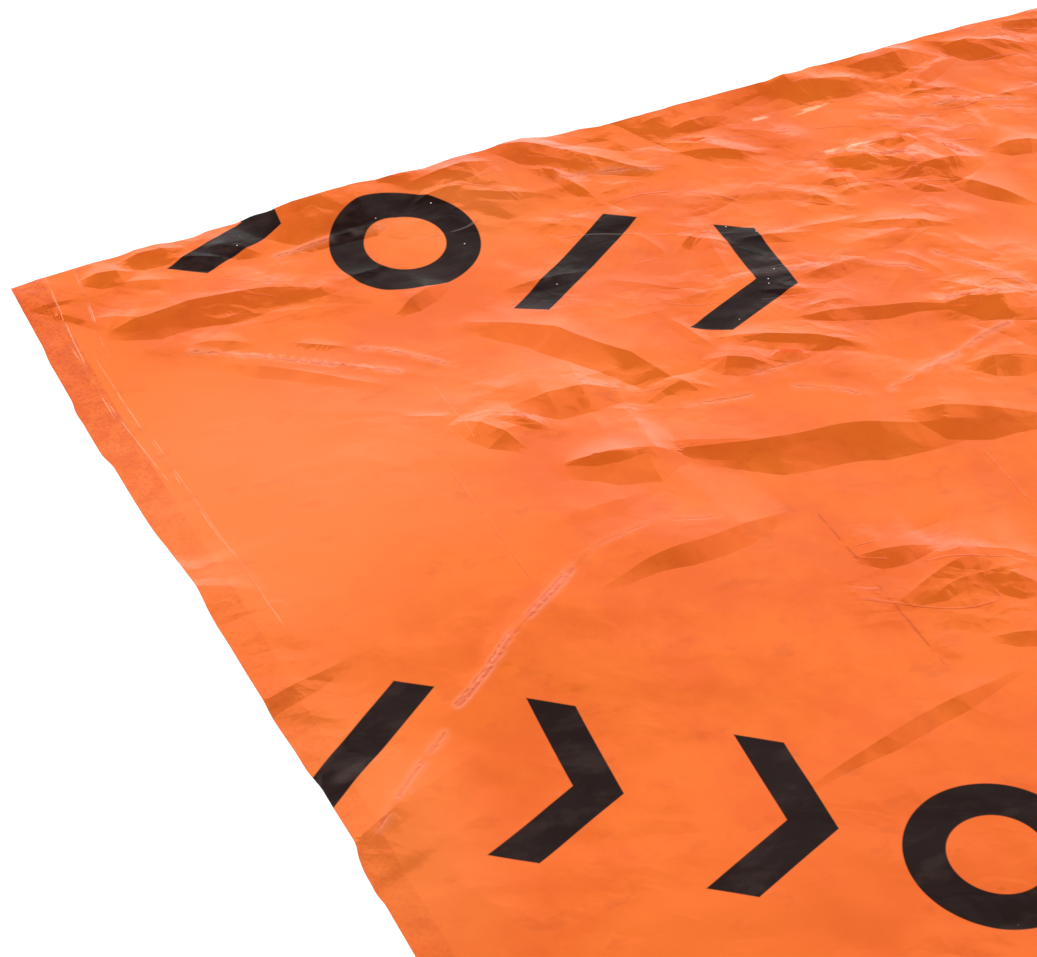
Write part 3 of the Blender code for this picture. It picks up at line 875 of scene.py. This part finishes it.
def scoreMarks(tree, place, right, down, scoreLines):
    # thin grooves darkened with painted shade, some of them with a painted highlight on them that comes and
    # goes
    scores = 0.0
    scored = 0.0
    for name, start, drift, top, bottom, strength in scoreLines:
        line = gap(tree, right, addTimes(tree, down, drift, start))
        begun = smooth(tree, down, top - 6.0, top + 2.0)
        ended = smooth(tree, down, bottom + 6.0, bottom - 2.0)
        mark = times(tree, smooth(tree, line, 0.42, 0.10), begun, ended)
        scored = greatest(tree, scored, mark)
        if strength:
            scores = greatest(tree, scores, times(tree, mark, strength))
    drawnOut = moveSpot(tree, place, size=(1.0, 0.4, 1.0))
    return scored, times(tree, scores, smooth(tree, cloud(tree, drawnOut, size=5.0, detail=1.0), 0.34, 0.60))


def packFoldShade(tree, film, place, right, down):
    # painted shade along the packing fold: a dark, broken line
    foldRight, top, bottom = film["packFold"]
    line = smooth(tree, gap(tree, right, foldRight), 0.9, 0.25)
    begun = smooth(tree, down, top - 4.0, top + 4.0)
    ended = smooth(tree, down, bottom + 8.0, bottom - 8.0)
    drawnOut = moveSpot(tree, place, size=(1.0, 0.45, 1.0))
    broken = smooth(tree, cloud(tree, drawnOut, size=4.0, detail=1.0), 0.38, 0.54)
    return times(tree, line, begun, ended, broken)


# painted glints: pale specks in groups on the print
def printGlints(tree, place, crumple):
    flake = addNode(tree, "ShaderNodeTexVoronoi", voronoi_dimensions="2D")
    tree.links.new(place, flake.inputs["Vector"])
    flake.inputs["Scale"].default_value = 1.0 / 9.0
    specks = smooth(tree, flake.outputs["Distance"], 0.05, 0.02)
    grouped = smooth(tree, cloud(tree, place, size=16.0, detail=1.0), 0.58, 0.63)
    return times(tree, specks, smooth(tree, crumple, 0.3, 0.5), grouped)


def baseColour(tree, film, sheenAndShadeAreas, place):
    # even orange with slow mottling, with painted sheen and painted shade over wide areas
    mottling = smooth(tree, cloud(tree, place, size=70.0, detail=6.0, rough=0.68), 0.36, 0.66)
    colour = blendColour(tree, mottling, film["orange"], film["deepOrangeAndShade"])
    for name, r0, d0, reachAlong, reachAcross, tone, share in sheenAndShadeAreas:
        spot = moveSpot(tree, place, shift=(-r0, -d0, 0.0))
        spot = moveSpot(tree, spot, size=(1.0 / reachAlong, 1.0 / reachAcross, 0.0))
        nearness = smooth(tree, vectorCalc(tree, "LENGTH", spot), 1.2, 0.3, 0.0, share)
        colour = blendColour(tree, nearness, colour, film[tone])
    return colour


def inkColour(tree, marks, place, hair, highlightBand):
    # painted sheen of the folds: the black print is lighter in drawn-out patches
    drawnOut = moveSpot(tree, place, turn=-26.0, size=(0.5, 1.0, 1.0))
    foldSheen = smooth(tree, cloud(tree, drawnOut, size=13.0, detail=4.0, rough=0.6), 0.46, 0.70)
    ink = blendColour(tree, foldSheen, marks["black"], marks["sheenBlack"])
    hairShare, bandShare = marks["creaseHighlights"]
    # painted highlight along the hair creases and the crests, in the print
    creaseHighlight = calc(tree, "MULTIPLY_ADD", hair, hairShare, times(tree, highlightBand, bandShare), clamp=True)
    return blendColour(tree, creaseHighlight, ink, marks["highlightBlack"])


def orangeFoil(film, sheet, marks, sheenAndShadeAreas, scoreLines, glints):
    material, tree, shader = newMaterial("orangeFoil")
    place = flatPlace(tree)
    right, down = split(tree, place)
    straying = addTimes(tree, cloud(tree, place, size=9.0, detail=1.0), 0.6, -0.3)
    strayedRight = calc(tree, "ADD", right, straying)
    crumple = attribute(tree, "crumple")
    hair = hairCreases(tree, place, crumple)
    highlightBand, crestShadeLine = crestSheenAndShade(tree, place)
    scored, scores = scoreMarks(tree, place, strayedRight, down, scoreLines)
    # heat-welded strip: close stippling, strongest at the corner
    fadeFrom, fadeTo, lowDown = film["weldFade"]
    grain = cloud(tree, place, size=1.7)
    inWeld = smooth(tree, right, sheet["weld"], sheet["weld"] - 0.8)
    stipple = times(tree, inWeld, smooth(tree, down, fadeFrom, fadeTo, lowDown, 1.0))

    relief = facetRelief(tree, film, place, crumple)
    relief = addTimes(tree, hair, film["hairRelief"], relief)
    relief = addTimes(tree, crestShadeLine, film["crestLineRelief"], relief)
    relief = addTimes(tree, times(tree, grain, stipple), film["weldRelief"], relief)
    relief = addTimes(tree, scored, film["scoreRelief"], relief)
    print("film relief ready")

    colour = baseColour(tree, film, sheenAndShadeAreas, place)
    welded = smooth(tree, cloud(tree, place, size=9.0, detail=3.0), 0.35, 0.68, 0.3, 0.9)
    colour = blendColour(tree, times(tree, stipple, welded), colour, film["weldOrange"])
    grooved = smooth(tree, grain, 0.52, 0.66, 0.0, film["grooveTint"])
    colour = blendColour(tree, times(tree, stipple, grooved), colour, film["grooveAndShade"])
    drawnOut = moveSpot(tree, place, turn=-30.0, size=(0.6, 1.0, 1.0))
    smudge = smooth(tree, cloud(tree, drawnOut, size=15.0, detail=5.0, rough=0.62), 0.60, 0.72)
    colour = blendColour(tree, times(tree, smudge, film["smudgeTint"]), colour, film["grooveAndShade"])
    # painted crease shade along the hair creases
    colour = blendColour(tree, times(tree, hair, film["hairTint"]), colour, film["creaseShadeRed"])
    # painted highlight in a band along the crests, then painted shade in the line on the crest
    colour = blendColour(tree, times(tree, highlightBand, film["highlightTint"]), colour, film["pale"])
    colour = blendColour(tree, times(tree, crestShadeLine, film["crestShadeTint"]), colour, film["creaseShadeRed"])
    # painted shade along the score lines
    colour = blendColour(tree, times(tree, scored, film["scoreShadeTint"]), colour, film["grooveAndShade"])
    # painted shade along the packing fold
    packShade = packFoldShade(tree, film, place, strayedRight, down)
    colour = blendColour(tree, times(tree, packShade, film["packShadeTint"]), colour, film["grooveAndShade"])
    # painted highlight: the glint streaks
    glint = times(tree, glintMask(tree, place, glints), film["glintTint"])
    colour = blendColour(tree, glint, colour, film["glint"])
    printed = markMask(tree, place, marks)
    colour = blendColour(tree, printed, colour, inkColour(tree, marks, place, hair, highlightBand))
    # score lines get a painted highlight, less so on the print, and painted glints show there as pale specks
    lit = times(tree, scores, addTimes(tree, printed, -0.4, 0.6))
    colour = blendColour(tree, lit, colour, film["scoreLight"])
    colour = blendColour(tree, times(tree, printGlints(tree, place, crumple), printed), colour, film["printGlint"])
    print("film colour ready")

    rough = addTimes(tree, greatest(tree, highlightBand, scores, hair), film["dullRoughness"], film["roughness"])
    bareSpecular, printSpecular = film["specular"]
    shine = {
        "Base Color": colour,
        "Metallic": addTimes(tree, printed, -film["metallic"], film["metallic"]),
        "Roughness": rough,
        "Coat Weight": addTimes(tree, printed, (film["printCoat"] - 1.0) * film["coat"], film["coat"]),
        "Specular IOR Level": addTimes(tree, printed, printSpecular - bareSpecular, bareSpecular),
    }
    for slot, source in shine.items():
        tree.links.new(source, shader.inputs[slot])
    shader.inputs["Coat Roughness"].default_value = film["coatRoughness"]
    joinRelief(tree, shader, relief, ("Normal", "Coat Normal"))
    return material


silver = {
    "dark": (0.72, 0.73, 0.76, 1.0),
    "light": (0.82, 0.82, 0.83, 1.0),
    "roughness": (0.14, 0.26),
    "facet": (24.0, 2.0, 12.0, "MANHATTAN"),     # turn, stretch, size, metric
    "slope": 0.08,
}


def silverFoil(silver):
    material, tree, shader = newMaterial("silverFoil")
    place = flatPlace(tree)
    mottling = smooth(tree, cloud(tree, place, size=60.0, detail=4.0), 0.3, 0.7)
    tree.links.new(blendColour(tree, mottling, silver["dark"], silver["light"]), shader.inputs["Base Color"])
    shader.inputs["Metallic"].default_value = 1.0
    rough = smooth(tree, cloud(tree, place, size=24.0, detail=3.0), 0.3, 0.7, *silver["roughness"])
    tree.links.new(rough, shader.inputs["Roughness"])
    relief = times(tree, facets(tree, place, *silver["facet"]), silver["slope"])
    joinRelief(tree, shader, relief, ("Normal",))
    return material


studio = {
    "floorColour": (0.95, 0.95, 0.95, 1.0),
    "floorSize": 24.0,
    "floorDepth": -0.0006,
    "floorGlow": 0.3,
    "lens": 104.1,
    "sensor": 36.0,
    "cameraPlace": (-0.7150, -0.7193, 0.8264),
    "heading": -25.825,
    "tilt": 41.0,         # how far the camera looks down
    "keySize": (1.6, 1.2),
    "keyPower": 22.0,
    "keyPlace": (-1.9, 1.2, 2.0),
    # how bright the soft tent is, from the floor line up to straight above
    "tentStops": (
        (0.0, 1.42), (0.30, 1.34), (0.45, 1.17), (0.52, 1.06), (0.56, 1.04), (0.60, 1.04), (0.70, 1.02),
        (0.77, 0.82), (0.830, 0.79), (0.842, 0.56), (0.866, 0.52), (0.880, 0.37), (1.0, 0.28),
    ),
}


def makeFloor(studio):
    bm = bmesh.new()
    bmesh.ops.create_grid(bm, x_segments=1, y_segments=1, size=studio["floorSize"] / 2)
    mesh = bpy.data.meshes.new("studioFloor")
    bm.to_mesh(mesh)
    bm.free()
    floor = bpy.data.objects.new("studioFloor", mesh)
    floor.location.z = studio["floorDepth"]
    bpy.context.scene.collection.objects.link(floor)
    material, tree, shader = newMaterial("paleFloor")
    shader.inputs["Base Color"].default_value = studio["floorColour"]
    shader.inputs["Roughness"].default_value = 0.9
    shader.inputs["Specular IOR Level"].default_value = 0.0
    shader.inputs["Emission Color"].default_value = (1.0, 1.0, 1.0, 1.0)
    shader.inputs["Emission Strength"].default_value = studio["floorGlow"]
    mesh.materials.append(material)


def makeTent(studio):
    world = bpy.data.worlds.new("softTent")
    world.use_nodes = True
    tree = world.node_tree
    place = addNode(tree, "ShaderNodeTexCoord")
    parts = addNode(tree, "ShaderNodeSeparateXYZ")
    ramp = addNode(tree, "ShaderNodeValToRGB")
    tree.links.new(place.outputs["Generated"], parts.inputs[0])
    tree.links.new(parts.outputs["Z"], ramp.inputs[0])
    tree.links.new(ramp.outputs[0], tree.nodes["Background"].inputs["Color"])
    stops = ramp.color_ramp.elements
    while len(stops) < len(studio["tentStops"]):
        stops.new(0.5)
    for stop, (spot, level) in zip(stops, studio["tentStops"]):
        stop.position = spot
        stop.color = (level, level, level, 1.0)
    bpy.context.scene.world = world


def makeKey(studio):
    lamp = bpy.data.lights.new("keyPanel", "AREA")
    lamp.shape = "RECTANGLE"
    lamp.size, lamp.size_y = studio["keySize"]
    lamp.energy = studio["keyPower"]
    key = bpy.data.objects.new("keyPanel", lamp)
    key.location = studio["keyPlace"]
    key.rotation_euler = (-key.location).to_track_quat("-Z", "Y").to_euler()     # faces the sheet's middle
    bpy.context.scene.collection.objects.link(key)


def makeCamera(studio):
    data = bpy.data.cameras.new("closeCamera")
    data.lens = studio["lens"]
    data.sensor_width = studio["sensor"]
    camera = bpy.data.objects.new("closeCamera", data)
    camera.location = studio["cameraPlace"]
    camera.rotation_euler = (math.radians(90.0 - studio["tilt"]), 0.0, math.radians(studio["heading"]))
    bpy.context.scene.collection.objects.link(camera)
    bpy.context.scene.camera = camera


bpy.context.scene.view_settings.view_transform = "Standard"
makeFloor(studio)
makeTent(studio)
makeKey(studio)
makeCamera(studio)
print("studio ready")

scattered = smallFolds(crumpleZones, random.Random(smallFold["seed"]))
foil = buildSheet(sheet, mainFolds, scattered, swells, crumpleZones, edgeShifts)
print("foil sheet shaped")
foil.data.materials.append(orangeFoil(film, sheet, marks, sheenAndShadeAreas, scoreLines, glints))
foil.data.materials.append(silverFoil(silver))
print("foil sheet ready")

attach(foil, "root")
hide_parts("foil_sheet")
